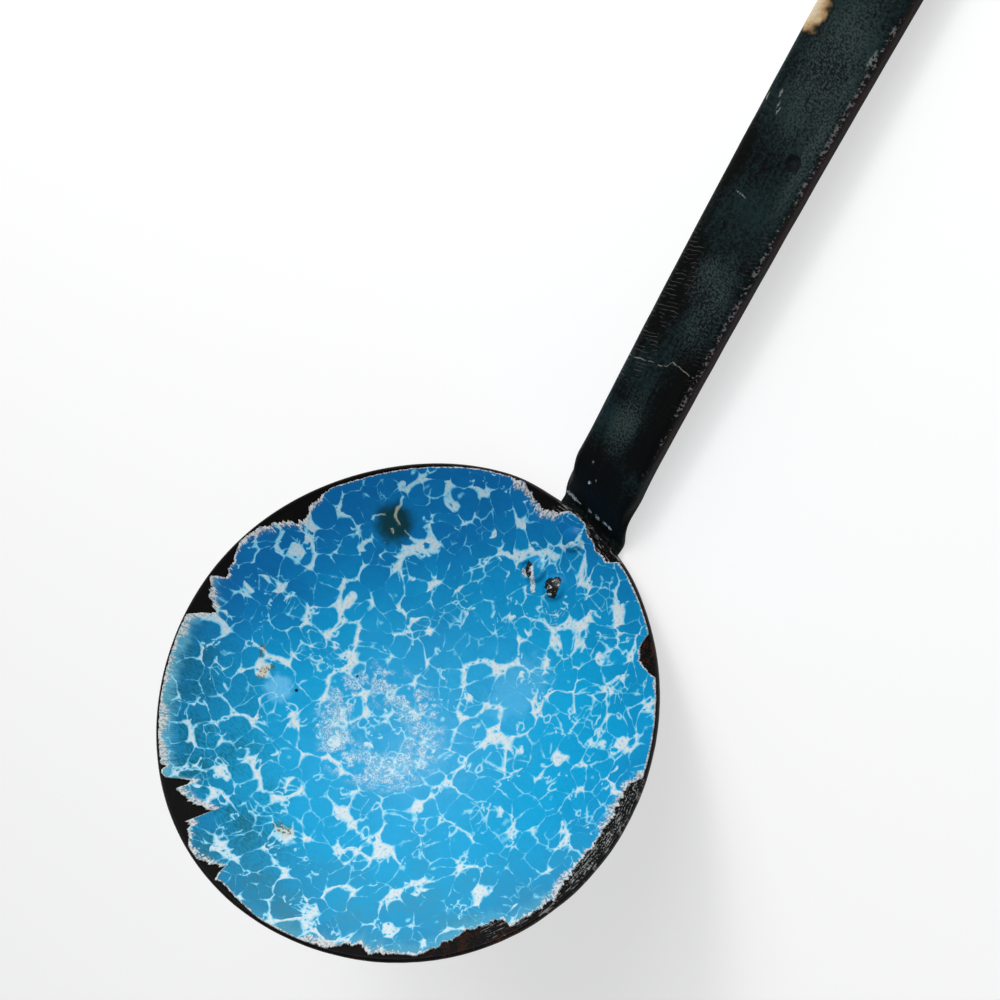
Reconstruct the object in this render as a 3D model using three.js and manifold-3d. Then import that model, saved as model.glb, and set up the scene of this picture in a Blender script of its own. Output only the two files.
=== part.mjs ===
// Enamelled ladle: a shallow pressed-steel bowl, its enamel lining, and a strip handle held by three rivets.
// Millimetres, +Z up. It lies as it does when put down: on the handle's bend at the rim and on its far end.
import * as THREE from 'three';
import { mergeVertices } from 'three/addons/utils/BufferGeometryUtils.js';
import Module from 'manifold-3d';

const wasm = await Module();
wasm.setup();

// Bowl
const RIM_DIAMETER = 140;
const BOWL_DEPTH = 23.5;
const SHELL_THICKNESS = 1.5;
const LINING_THICKNESS = 0.4;
const LINING_SETBACK = 1;
const FUSE_GAP = 0.1;

// Handle strip, along its length from the foot's end to the hanging end
const STRIP_THICKNESS = 1.6;
const FOOT_LENGTH = 31;
const FOOT_WIDTH = 23.2;
const RIM_BEND_RADIUS = 3;
const RIM_BEND_ANGLE = THREE.MathUtils.degToRad(39);
const SHOULDER_LENGTH = 27;
const SHOULDER_ANGLE = THREE.MathUtils.degToRad(28);
const SHANK_LENGTH = 225;
const SHANK_DROOP = THREE.MathUtils.degToRad(7);
const TAB_LENGTH = 32;
const HANDLE_WIDTH = 21.4;

// Turned-down edges of the handle
const EDGE_DEPTH = 5.4;
const EDGE_CORNER_RADIUS = 2.4;
const EDGE_FADE_AT_RIM = 24;
const EDGE_FADE_AT_TAB = 24;
const FLAT_LIP = 0.6;
const FLAT_LIP_ANGLE = THREE.MathUtils.degToRad(2);

// Hanging hole
const HANG_HOLE_DIAMETER = 9;
const HANG_HOLE_INSET = 13;

// Rivets
const RIVET_SHANK_DIAMETER = 4;
const RIVET_HEAD_DIAMETER = 6;
const RIVET_HEAD_HEIGHT = 1.2;
const RIVET_TAIL_DIAMETER = 6.4;
const RIVET_TAIL_HEIGHT = 0.6;
const RIVET_CLEARANCE = 0.2;
const RIM_RIVET_DROP = 6.3;
const PAIR_RIVET_DROP = 20.8;
const PAIR_SPACING = 7.8;
const RIVET_OFFSET = 0.8;

// Clearance between pieces that are seated on each other
const SEAT_GAP = 0.3;

// Fineness of the facets
const BOWL_SECTORS = 64;
const BOWL_RINGS = 8;
const RIVET_SECTORS = 16;
const DOME_STEPS = 4;
const HOLE_SECTORS = 24;
const WEB_STEPS = 4;
const CORNER_STEPS = 3;
const ROUND_END_STEPS = 6;

// The bowl is part of a sphere with its centre on the bowl's axis. z = 0 is the middle of its underside.
const rimRadius = RIM_DIAMETER / 2;
const outerRadius = (rimRadius ** 2 + BOWL_DEPTH ** 2) / (2 * BOWL_DEPTH);
const innerRadius = outerRadius - SHELL_THICKNESS;
const liningOuterRadius = innerRadius - FUSE_GAP;
const liningInnerRadius = liningOuterRadius - LINING_THICKNESS;
const rimAngle = Math.asin(rimRadius / outerRadius);
const sphereCentre = new THREE.Vector3(0, 0, outerRadius);

// Enamels and steel
const blackEnamel = { color: 0x14181a, roughness: 0.45, metalness: 0.1 };
const blueEnamel = { color: 0x1a8fd0, roughness: 0.22, metalness: 0 };
const handleEnamel = { color: 0x1c2729, roughness: 0.5, metalness: 0.1 };
const rivetSteel = { color: 0x2a2826, roughness: 0.6, metalness: 0.5 };

// Turns a closed geometry into a solid that can be cut.
function toSolid(geometry) {
  const bare = geometry.clone();
  bare.deleteAttribute('normal');
  bare.deleteAttribute('uv');
  const merged = mergeVertices(bare, 1e-5);
  const vertProperties = new Float32Array(merged.attributes.position.array);
  const triVerts = new Uint32Array(merged.index.array);
  return new wasm.Manifold(new wasm.Mesh({ numProp: 3, vertProperties, triVerts }));
}

// Turns a solid back into a geometry.
function toGeometry(solid) {
  const mesh = solid.getMesh();
  const geometry = new THREE.BufferGeometry();
  geometry.setAttribute('position', new THREE.BufferAttribute(new Float32Array(mesh.vertProperties), 3));
  geometry.setIndex(new THREE.BufferAttribute(new Uint32Array(mesh.triVerts), 1));
  geometry.computeVertexNormals();
  return geometry;
}

// Cuts holes, given as geometries, out of a geometry.
function cut(geometry, holes) {
  return toGeometry(holes.reduce((solid, hole) => solid.subtract(toSolid(hole)), toSolid(geometry)));
}

// A smooth step from 0 to 1 while value runs from start to end.
function ease(value, start, end) {
  return THREE.MathUtils.smoothstep(value, start, end);
}

// Points of an arc about the sphere's centre, measured from straight down, as lathe profile points.
function domeArc(radius, fromAngle, toAngle, steps) {
  return Array.from({ length: steps + 1 }, (unused, i) => {
    const angle = THREE.MathUtils.lerp(fromAngle, toAngle, i / steps);
    return new THREE.Vector2(radius * Math.sin(angle), sphereCentre.z - radius * Math.cos(angle));
  });
}

// A dished skin between two spheres, cut square at its edge.
function dishedSkin(outside, inside, edgeAngle) {
  const profile = [
    ...domeArc(outside, 0, edgeAngle, BOWL_RINGS),
    ...domeArc(inside, edgeAngle, 0, BOWL_RINGS),
  ];
  profile[0].x = 0;
  profile[profile.length - 1].x = 0;
  return new THREE.LatheGeometry(profile, BOWL_SECTORS).rotateX(Math.PI / 2);
}

// A frame on the bowl's wall: drop is measured down the wall from the rim, across is the offset along Y.
// The frame's Y axis points into the bowl, and its origin lies on the shell's inner face.
function wallFrame(drop, across) {
  const polar = rimAngle - drop / outerRadius;
  const side = Math.asin(across / outerRadius);
  const outward = new THREE.Vector3(
    Math.sin(polar) * Math.cos(side),
    Math.sin(side),
    -Math.cos(polar) * Math.cos(side),
  );
  const inward = outward.clone().negate();
  const turn = new THREE.Quaternion().setFromUnitVectors(new THREE.Vector3(0, 1, 0), inward);
  const origin = sphereCentre.clone().addScaledVector(outward, innerRadius);
  return new THREE.Matrix4().compose(origin, turn, new THREE.Vector3(1, 1, 1));
}

// Where the three rivets stand on the wall
const rivetPlaces = [
  { name: 'rivet_rim', drop: RIM_RIVET_DROP, across: RIVET_OFFSET },
  { name: 'rivet_left', drop: PAIR_RIVET_DROP, across: RIVET_OFFSET + PAIR_SPACING / 2 },
  { name: 'rivet_right', drop: PAIR_RIVET_DROP, across: RIVET_OFFSET - PAIR_SPACING / 2 },
];

// A round hole through the wall at each rivet.
function wallHoles(radius) {
  const reach = 4 * (SHELL_THICKNESS + STRIP_THICKNESS);
  return rivetPlaces.map(({ drop, across }) => {
    const hole = new THREE.CylinderGeometry(radius, radius, 2 * reach, HOLE_SECTORS);
    return hole.applyMatrix4(wallFrame(drop, across));
  });
}

const shankHoleRadius = RIVET_SHANK_DIAMETER / 2 + RIVET_CLEARANCE;
const headHoleRadius = RIVET_HEAD_DIAMETER / 2 + RIVET_CLEARANCE;

// Bowl shell: pressed dish, pierced for the rivets.
function bowlShell() {
  return cut(dishedSkin(outerRadius, innerRadius, rimAngle), wallHoles(shankHoleRadius));
}

// Lining: the cover coat stops short of the rim and goes round the rivet heads.
function bowlLining() {
  const edgeAngle = rimAngle - LINING_SETBACK / liningOuterRadius;
  return cut(dishedSkin(liningOuterRadius, liningInnerRadius, edgeAngle), wallHoles(headHoleRadius));
}

// The middle line of the handle's upper face, as arcs laid end to end in the XZ plane.
const seatRadius = outerRadius + SEAT_GAP;
const footAngle = rimAngle - FOOT_LENGTH / seatRadius;
const stripArcs = [
  { length: FOOT_LENGTH, turn: FOOT_LENGTH / seatRadius },
  { length: RIM_BEND_RADIUS * RIM_BEND_ANGLE, turn: RIM_BEND_ANGLE },
  { length: SHOULDER_LENGTH, turn: -SHOULDER_ANGLE },
  { length: SHANK_LENGTH, turn: -SHANK_DROOP },
  { length: TAB_LENGTH, turn: 0 },
];
const rimStation = stripArcs[0].length;
const shoulderStation = rimStation + stripArcs[1].length;
const shankStation = shoulderStation + stripArcs[2].length;
const tabStation = shankStation + stripArcs[3].length;
const endStation = tabStation + stripArcs[4].length;

// Place and heading (angle above level) on the middle line at a station.
function stripLine(station) {
  const place = new THREE.Vector3(
    seatRadius * Math.sin(footAngle),
    0,
    sphereCentre.z - seatRadius * Math.cos(footAngle),
  );
  let heading = footAngle;
  let left = station;
  for (const { length, turn } of stripArcs) {
    const run = Math.min(left, length);
    const bend = (turn * run) / length;
    const chord = bend === 0 ? run : (2 * run * Math.sin(bend / 2)) / bend;
    place.x += chord * Math.cos(heading + bend / 2);
    place.z += chord * Math.sin(heading + bend / 2);
    heading += bend;
    left -= run;
  }
  return { place, heading };
}

// Half the strip's width at a station, with a round tongue at the foot and a round hanging end.
function halfWidth(station) {
  const narrowing = ease(station, rimStation, shankStation);
  const straight = THREE.MathUtils.lerp(FOOT_WIDTH, HANDLE_WIDTH, narrowing) / 2;
  const toEnd = Math.min(station, endStation - station, straight);
  return Math.sqrt(straight ** 2 - (straight - toEnd) ** 2);
}

// How far the edges are turned down at a station: 0 on the foot and the tab, 1 along the shank.
function edgeTurn(station) {
  return ease(station, rimStation, rimStation + EDGE_FADE_AT_RIM)
    * (1 - ease(station, tabStation - EDGE_FADE_AT_TAB, tabStation));
}

// Stations along the strip: close together at its round ends and bends, wide apart along the shank.
function stripStations() {
  const firstStep = Math.PI / 2 / (ROUND_END_STEPS + 0.5) / 2;
  const roundEnd = Array.from({ length: ROUND_END_STEPS + 1 }, (unused, i) => {
    return 1 - Math.cos(THREE.MathUtils.lerp(firstStep, Math.PI / 2, i / ROUND_END_STEPS));
  });
  const spread = (from, to, steps) => {
    return Array.from({ length: steps }, (unused, i) => THREE.MathUtils.lerp(from, to, (i + 1) / steps));
  };
  const footRound = FOOT_WIDTH / 2;
  const tabRound = HANDLE_WIDTH / 2;
  return [
    ...roundEnd.map((share) => footRound * share),
    ...spread(footRound, rimStation, 4),
    ...spread(rimStation, shoulderStation, 4),
    ...spread(shoulderStation, shankStation, 8),
    ...spread(shankStation, tabStation - EDGE_FADE_AT_TAB, 14),
    ...spread(tabStation - EDGE_FADE_AT_TAB, tabStation, 6),
    ...spread(tabStation, endStation - tabRound, 1),
    ...roundEnd.map((share) => endStation - tabRound * share).reverse().slice(1),
  ];
}

// Half a section of the strip, middle to edge: offset across and height over the middle line.
// side is 0 on the upper face and 1 on the under face.
function halfSection(station, side) {
  const share = edgeTurn(station);
  const half = halfWidth(station);
  const angle = THREE.MathUtils.lerp(FLAT_LIP_ANGLE, Math.PI / 2, share);
  const lip = Math.min(FLAT_LIP, half / 3);
  const edge = THREE.MathUtils.lerp(lip, EDGE_DEPTH - EDGE_CORNER_RADIUS, share);
  const flat = half - EDGE_CORNER_RADIUS * Math.sin(angle) - edge * Math.cos(angle);
  const radius = EDGE_CORNER_RADIUS - side * STRIP_THICKNESS;
  const points = [];
  for (let i = 0; i <= WEB_STEPS / 2; i += 1) {
    points.push([(flat * i) / (WEB_STEPS / 2), -side * STRIP_THICKNESS]);
  }
  for (let i = 1; i <= CORNER_STEPS; i += 1) {
    const part = (angle * i) / CORNER_STEPS;
    points.push([flat + radius * Math.sin(part), radius * Math.cos(part) - EDGE_CORNER_RADIUS]);
  }
  const [lastAcross, lastHeight] = points[points.length - 1];
  points.push([lastAcross + edge * Math.cos(angle), lastHeight - edge * Math.sin(angle)]);
  return points;
}

// How closely the strip is dished to the bowl's wall: fully on the foot, not at all from the rim on.
function dishing(station) {
  return 1 - ease(station, rimStation - RIM_RIVET_DROP, rimStation);
}

// Handle strip: a grid of station, offset and face, each grid point carried to its place on the bent strip.
function handleStrip() {
  const stations = stripStations();
  const along = stations.length - 1;
  const across = WEB_STEPS + 2 * CORNER_STEPS + 2;
  const strip = new THREE.BoxGeometry(1, 1, 1, along, across, 1);
  const points = strip.attributes.position;
  for (let i = 0; i < points.count; i += 1) {
    const station = stations[Math.round((points.getX(i) + 0.5) * along)];
    const step = Math.round((points.getY(i) + 0.5) * across) - across / 2;
    const side = points.getZ(i) > 0 ? 0 : 1;
    const [offset, height] = halfSection(station, side)[Math.abs(step)];
    const sag = seatRadius - Math.sqrt(seatRadius ** 2 - offset ** 2);
    const lift = height + sag * dishing(station);
    const { place, heading } = stripLine(station);
    points.setXYZ(
      i,
      place.x - lift * Math.sin(heading),
      Math.sign(step) * offset,
      place.z + lift * Math.cos(heading),
    );
  }
  return strip;
}

// Handle: the strip pierced for the rivets and for hanging.
function handle() {
  const { place, heading } = stripLine(endStation - HANG_HOLE_INSET);
  const hangHole = new THREE.CylinderGeometry(
    HANG_HOLE_DIAMETER / 2,
    HANG_HOLE_DIAMETER / 2,
    6 * STRIP_THICKNESS,
    HOLE_SECTORS,
  );
  hangHole.rotateX(Math.PI / 2).rotateY(-heading).translate(place.x, place.y, place.z);
  return cut(handleStrip(), [...wallHoles(shankHoleRadius), hangHole]);
}

// A low round rivet end from its edge to its crown, as lathe profile points rising from the given level.
function roundedEnd(diameter, height, level, direction) {
  return Array.from({ length: DOME_STEPS + 1 }, (unused, i) => {
    const angle = (Math.PI / 2) * (i / DOME_STEPS);
    const rise = height * (0.3 + 0.7 * Math.sin(angle));
    return new THREE.Vector2((diameter / 2) * Math.cos(angle), level + direction * rise);
  });
}

// Rivet: head inside the bowl, shank through shell and foot, hammered tail outside. Y runs into the bowl.
function rivet() {
  const headLevel = SEAT_GAP;
  const tailLevel = -(SHELL_THICKNESS + SEAT_GAP + STRIP_THICKNESS + SEAT_GAP);
  const shankRadius = RIVET_SHANK_DIAMETER / 2;
  const profile = [
    ...roundedEnd(RIVET_TAIL_DIAMETER, RIVET_TAIL_HEIGHT, tailLevel, -1).reverse(),
    new THREE.Vector2(RIVET_TAIL_DIAMETER / 2, tailLevel),
    new THREE.Vector2(shankRadius, tailLevel),
    new THREE.Vector2(shankRadius, headLevel),
    new THREE.Vector2(RIVET_HEAD_DIAMETER / 2, headLevel),
    ...roundedEnd(RIVET_HEAD_DIAMETER, RIVET_HEAD_HEIGHT, headLevel, 1),
  ];
  profile[0].x = 0;
  profile[profile.length - 1].x = 0;
  return new THREE.LatheGeometry(profile, RIVET_SECTORS);
}

// A named piece with its own finish.
function piece(name, geometry, finish) {
  const mesh = new THREE.Mesh(geometry, new THREE.MeshStandardMaterial(finish));
  mesh.name = name;
  return mesh;
}

// The ladle with its bowl level.
const level = new THREE.Group();
level.add(piece('bowl_shell', bowlShell(), blackEnamel));
level.add(piece('bowl_lining', bowlLining(), blueEnamel));
level.add(piece('handle', handle(), handleEnamel));
for (const { name, drop, across } of rivetPlaces) {
  const mesh = piece(name, rivet(), rivetSteel);
  mesh.applyMatrix4(wallFrame(drop, across));
  level.add(mesh);
}

// The lowest heights on the bowl's side and on the shank's side, with the ladle turned about Y by an angle.
function lowestHeights(angle) {
  const split = stripLine(shankStation).place.x;
  const lowest = { bowl: Infinity, shank: Infinity };
  const point = new THREE.Vector3();
  level.updateMatrixWorld(true);
  level.traverse((mesh) => {
    if (!mesh.isMesh) {
      return;
    }
    const points = mesh.geometry.attributes.position;
    for (let i = 0; i < points.count; i += 1) {
      point.fromBufferAttribute(points, i).applyMatrix4(mesh.matrix);
      const part = point.x < split ? 'bowl' : 'shank';
      const height = point.z * Math.cos(angle) - point.x * Math.sin(angle);
      lowest[part] = Math.min(lowest[part], height);
    }
  });
  return lowest;
}

// The angle at which the bowl's side and the shank touch the table together, found by halving.
function lyingAngle() {
  let low = 0;
  let high = Math.PI / 2;
  for (let i = 0; i < 40; i += 1) {
    const middle = (low + high) / 2;
    const { bowl, shank } = lowestHeights(middle);
    if (shank > bowl) {
      low = middle;
    } else {
      high = middle;
    }
  }
  return (low + high) / 2;
}

// Laid down, with the middle of its underside at the origin and the handle along +X.
level.rotation.y = lyingAngle();
const ladle = new THREE.Group();
ladle.add(level);
ladle.updateMatrixWorld(true);
const box = new THREE.Box3().setFromObject(ladle, true);
level.position.set(-(box.min.x + box.max.x) / 2, -(box.min.y + box.max.y) / 2, -box.min.z);

export default ladle;
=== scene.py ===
import bpy
import numpy as np
from mathutils import Matrix, Vector


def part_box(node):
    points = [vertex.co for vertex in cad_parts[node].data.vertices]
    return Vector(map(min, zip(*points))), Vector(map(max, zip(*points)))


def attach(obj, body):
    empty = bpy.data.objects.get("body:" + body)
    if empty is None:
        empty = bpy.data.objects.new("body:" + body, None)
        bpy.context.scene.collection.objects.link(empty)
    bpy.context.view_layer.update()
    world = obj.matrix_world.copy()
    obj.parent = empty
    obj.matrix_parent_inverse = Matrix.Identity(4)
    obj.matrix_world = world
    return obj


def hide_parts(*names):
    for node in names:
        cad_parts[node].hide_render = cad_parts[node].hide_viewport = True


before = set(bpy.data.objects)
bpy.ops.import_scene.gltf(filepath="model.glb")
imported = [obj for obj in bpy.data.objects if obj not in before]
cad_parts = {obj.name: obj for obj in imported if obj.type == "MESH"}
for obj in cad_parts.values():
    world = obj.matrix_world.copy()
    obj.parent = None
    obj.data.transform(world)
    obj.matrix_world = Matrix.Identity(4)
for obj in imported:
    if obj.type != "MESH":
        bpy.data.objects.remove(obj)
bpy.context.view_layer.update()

# Bowl shell
# A shallow dish pressed from one disc of sheet steel, its edge cut plain. A black ground coat of enamel
# covers both faces. Use has worn that coat to grey steel and rust along parts of the rim.
SHELL_THICKNESS = 0.0015
RIM_ROUNDING = 0.0007
RIM_SQUARENESS = 0.6
SHELL_COLUMNS = 720
SHELL_ROWS = 44
# Slow waves of the bent rim: how many round the bowl, how far out, and a crest's angle in degrees.
OUT_OF_ROUND = ((0, 0.0002, 0), (1, 0.0004, -129), (3, 0.0005, 15), (4, 0.00033, 2), (5, 0.00014, 20))
# The waves leave out the handle's seat: the angles from it where they start and are whole.
WAVES_START = np.radians(10)
WAVES_WHOLE = np.radians(24)
# Layers of unevenness: height, length and seed.
OUTSIDE_RIPPLES = ((0.00005, 0.014, 1), (0.00002, 0.004, 2))
# Arcs of wear along the rim: start and end in degrees from the handle, and how far they fade beyond.
RIM_WEAR = {
    "worn": ((-92, -64, 2),),
    "rusted": ((-124, -104, 3), (-38, -32, 3)),
    "streaked": ((-15, 8, 2), (-112, -64, 2)),
}
WEAR_STARTS = 0.012
WEAR_WHOLE = 0.006
GROUND_GRAIN = 0.0006
GROUND_BLOTCH = 0.004
GROUND_CLOUD = 0.02
STREAK_WIDTH = 0.0005
SCRAPE_WIDTH = 0.0009
GROUND_BLACK = (0.0030, 0.0028, 0.0028)
GROUND_BROWN = (0.0070, 0.0048, 0.0038)
RUST = (0.045, 0.013, 0.007)
WORN_STEEL = (0.24, 0.25, 0.24)
STREAK_GREY = (0.25, 0.24, 0.235)
SCUFF_GREY = (0.045, 0.048, 0.050)

shell_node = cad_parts["bowl_shell"].data
shell_corners = np.empty(3 * len(shell_node.vertices), np.float32)
shell_node.vertices.foreach_get("co", shell_corners)
shell_corners = shell_corners.reshape(-1, 3).astype(float)

# The dish's place in the frame: its widest corner gives the rim's centre, its highest corner the tilt.
rim_side = shell_corners[np.argmax(shell_corners[:, 1])]
rim_radius = rim_side[1]
rim_centre = rim_side * (1, 0, 1)
in_middle_plane = np.abs(shell_corners[:, 1]) < 1e-5
above_centre = shell_corners[in_middle_plane & (shell_corners[:, 2] > rim_centre[2])]
far_rim = above_centre[np.argmax(np.linalg.norm(above_centre - rim_centre, axis=1))]
to_handle = (rim_centre - far_rim) / rim_radius
out_of_bowl = np.array([-to_handle[2], 0, to_handle[0]])
bowl_axes = np.array([to_handle, (0, 1, 0), out_of_bowl])
bowl_depth = -((shell_corners - rim_centre) @ out_of_bowl).min()
outer_radius = (rim_radius**2 + bowl_depth**2) / (2 * bowl_depth)
inner_radius = outer_radius - SHELL_THICKNESS
rim_arc = inner_radius * np.arcsin(rim_radius / outer_radius)


def ease(value, start, end):
    """A smooth step: 0 at start, 1 at end, level at both."""
    share = np.clip((value - start) / (end - start), 0, 1)
    return share * share * (3 - 2 * share)


def ripples(chart, *layers):
    """An uneven height over a flat chart. Each layer adds twelve plane waves of about its length, in
    seeded directions, which together swing about as far as its height."""
    across, along = np.moveaxis(chart, -1, 0)
    total = np.zeros_like(across)
    for height, length, seed in layers:
        draw = np.random.default_rng(seed)
        for heading, phase, stretch in draw.uniform((0, 0, 0.7), (2 * np.pi, 2 * np.pi, 1.5), (12, 3)):
            way = across * np.cos(heading) + along * np.sin(heading)
            total += height / 4 * np.sin(way * 2 * np.pi / (length * stretch) + phase)
    return total


def arc_zone(angle, start, end, fade):
    """1 between two angles round the bowl, in degrees from the handle, fading to 0 over fade degrees
    beyond."""
    away = np.degrees(angle) - (start + end) / 2
    away = np.abs((away + 180) % 360 - 180) - (end - start) / 2
    return 1 - ease(away, 0, fade)


def bowl_place(arc, angle, height):
    """A place on the dish. arc is the way up the inner face from its middle, angle is taken from the
    handle, and height is off the inner face, towards the centre of the sphere that the dish is part of.
    The rim's slow waves grow with the cube of arc and leave out the handle's seat."""
    polar = arc / inner_radius
    reach = inner_radius - height
    waves = sum(swing * np.cos(count * (angle - np.radians(crest))) for count, swing, crest in OUT_OF_ROUND)
    waves = waves * ease(np.abs(angle), WAVES_START, WAVES_WHOLE)
    out = reach * np.sin(polar) + waves * (arc / rim_arc) ** 3
    up = outer_radius - bowl_depth - reach * np.cos(polar)
    local = np.stack([out * np.cos(angle), out * np.sin(angle), up + 0 * angle], -1)
    return rim_centre + local @ bowl_axes


def bowl_chart(arc, angle):
    """The dish laid flat: a place's way from the middle is kept, and so is its angle."""
    return np.stack([arc * np.cos(angle), arc * np.sin(angle)], -1)


def placed(name, data):
    """A new object in the scene."""
    made = bpy.data.objects.new(name, data)
    bpy.context.scene.collection.objects.link(made)
    return made


def skin(name, grid, chart_name, chart, marks, crease):
    """A closed skin over a grid of points. Rows run along the piece. Columns run round it, and the last
    lies on the first. The first and the last row are each drawn together into one point. chart holds a
    flat place and each of marks one number for every grid point, and edges over crease, in degrees, are
    sharp."""
    grid = grid[:, :-1]
    rows, columns = grid.shape[:2]
    row, column = (index.ravel() for index in np.mgrid[1:rows - 2, 0:columns])
    ends = np.arange(columns)
    quad_rows = np.stack([row, row, row + 1, row + 1], -1)
    quad_columns = np.stack([column, column + 1, column + 1, column], -1)
    first_rows = np.tile([0, 1, 1], (columns, 1))
    first_columns = np.stack([ends, ends + 1, ends], -1)
    last_rows = np.tile([rows - 1, rows - 2, rows - 2], (columns, 1))
    last_columns = np.stack([ends, ends, ends + 1], -1)
    points = np.vstack([grid[1:-1].reshape(-1, 3), grid[0].mean(0), grid[-1].mean(0)])
    body = len(points) - 2
    fans = [(first_rows, first_columns), (last_rows, last_columns)]
    faces = []
    places = []
    for face_rows, face_columns in [(quad_rows, quad_columns), *fans]:
        inner = (face_rows - 1) * columns + face_columns % columns
        inner = np.where(face_rows == 0, body, inner)
        faces.append(np.where(face_rows == rows - 1, body + 1, inner))
        places.append(chart[face_rows, face_columns])
    triangles = np.vstack([faces[0][:, :3], faces[0][:, [0, 2, 3]], faces[1], faces[2]])
    first, second, third = (points[triangles[:, i]] - points[body] for i in range(3))
    if np.einsum("ij,ij->", first, np.cross(second, third)) < 0:
        faces = [face[:, ::-1] for face in faces]
        places = [place[:, ::-1] for place in places]
    mesh = bpy.data.meshes.new(name)
    mesh.from_pydata(points.tolist(), [], [face for group in faces for face in group.tolist()])
    flat_places = np.vstack([place.reshape(-1, 2) for place in places])
    mesh.uv_layers.new(name=chart_name).uv.foreach_set("vector", flat_places.astype(np.float32).ravel())
    for mark, values in marks.items():
        layer = mesh.attributes.new(mark, "FLOAT", "POINT")
        values = np.concatenate([values[1:-1, :-1].ravel(), values[0, :1], values[-1, :1]])
        layer.data.foreach_set("value", values.astype(np.float32))
    mesh.shade_smooth()
    mesh.set_sharp_from_angle(angle=np.radians(crease))
    return placed(name, mesh)


class Wire:
    """One output of a node tree. Arithmetic on wires adds Math nodes, so shader maths reads as sums."""

    def __init__(self, tree, socket=None):
        self.tree = tree
        self.socket = socket

    def node(self, kind, settings, inputs, output=0):
        """Adds any node: its settings are set first, then its inputs get wires or values."""
        made = self.tree.nodes.new("ShaderNode" + kind)
        for name, value in settings.items():
            setattr(made, name, value)
        for name, value in inputs.items():
            if isinstance(value, Wire):
                self.tree.links.new(value.socket, made.inputs[name])
            else:
                made.inputs[name].default_value = value
        return Wire(self.tree, made.outputs[output])

    def math(self, operation, first, second):
        return self.node("Math", {"operation": operation}, {0: first, 1: second})

    def __add__(self, other):
        return self.math("ADD", self, other)

    def __sub__(self, other):
        return self.math("SUBTRACT", self, other)

    def __rsub__(self, other):
        return self.math("SUBTRACT", other, self)

    def __mul__(self, other):
        return self.math("MULTIPLY", self, other)

    def __truediv__(self, other):
        return self.math("DIVIDE", self, other)

    __radd__ = __add__
    __rmul__ = __mul__

    def larger(self, other):
        return self.math("MAXIMUM", self, other)

    def lesser(self, other, rounding=0.0):
        """The smaller of the two, with the corner where they cross rounded off."""
        return self.node("Math", {"operation": "SMOOTH_MIN"}, {0: self, 1: other, 2: rounding})

    def magnitude(self):
        return self.math("ABSOLUTE", self, 0)

    def swing(self, reach):
        """This wire, which lies about a half, made to lie about 0 and to swing by up to half of reach."""
        return (self - 0.5) * reach

    def between(self, low, high):
        """A smooth step from 0 at low to 1 at high; low may be the larger of the two."""
        settings = {"interpolation_type": "SMOOTHSTEP"}
        return self.node("MapRange", settings, {"Value": self, "From Min": low, "From Max": high})

    def mix(self, first, second):
        """The colour that goes from first to second as this wire goes from 0 to 1."""
        first, second = ((*c, 1) if isinstance(c, tuple) else c for c in (first, second))
        return self.node("Mix", {"data_type": "RGBA"}, {0: self, 6: first, 7: second}, 2)

    def chart(self, name):
        """The flat place that the mesh holds for each of its points."""
        return self.node("UVMap", {"uv_map": name}, {})

    def mark(self, name):
        """A number that the mesh holds for each of its points."""
        return self.node("Attribute", {"attribute_name": name}, {}, "Fac")

    def vector(self, operation, second, output=0):
        """Vector maths on this wire and a second vector, or a number for SCALE."""
        socket = "Scale" if operation == "SCALE" else 1
        return self.node("VectorMath", {"operation": operation}, {0: self, socket: second}, output)

    def part(self, axis):
        """One number out of a vector or colour."""
        return self.node("SeparateXYZ", {}, {0: self}, axis)

    def toward(self, along, across):
        """How far out this place lies in one direction of its chart."""
        return self.vector("DOT_PRODUCT", (along, across, 0), 1)

    def noise(self, size, detail=2.0, output=0):
        """Flat noise whose lumps are about size metres, with this wire as the place."""
        sockets = {0: self, "Scale": 1 / size, "Detail": detail}
        return self.node("TexNoise", {"noise_dimensions": "2D"}, sockets, output)

    def drifted(self, size, reach):
        """This place moved by up to about half of reach, in lumps of size."""
        drift = self.noise(size, 1.0, 1).vector("SUBTRACT", (0.5, 0.5, 0.5)).vector("SCALE", reach)
        return self.vector("ADD", drift)

    def spot(self, centre, half_sizes):
        """How far this place lies from a spot's centre, where 1 is the edge of an oval of those half
        sizes."""
        away = self.vector("SUBTRACT", (*centre, 0))
        return away.vector("DIVIDE", (*half_sizes, 1)).vector("LENGTH", (0, 0, 0), 1)

    def bump(self, distance):
        return self.node("Bump", {}, {"Height": self, "Distance": distance})


def finish(name, chart_name, constants):
    """A material with one Principled shader: values that are the same all over are set on its own
    sockets. Returns the material, the place on the piece's chart, and a function that links wires to the
    shader."""
    material = bpy.data.materials.new(name)
    material.use_nodes = True
    tree = material.node_tree
    shader = tree.nodes["Principled BSDF"]
    for socket, value in constants.items():
        shader.inputs[socket].default_value = value

    def feed(wires):
        for socket, wire in wires.items():
            tree.links.new(wire.socket, shader.inputs[socket])

    return material, Wire(tree).chart(chart_name), feed


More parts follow.
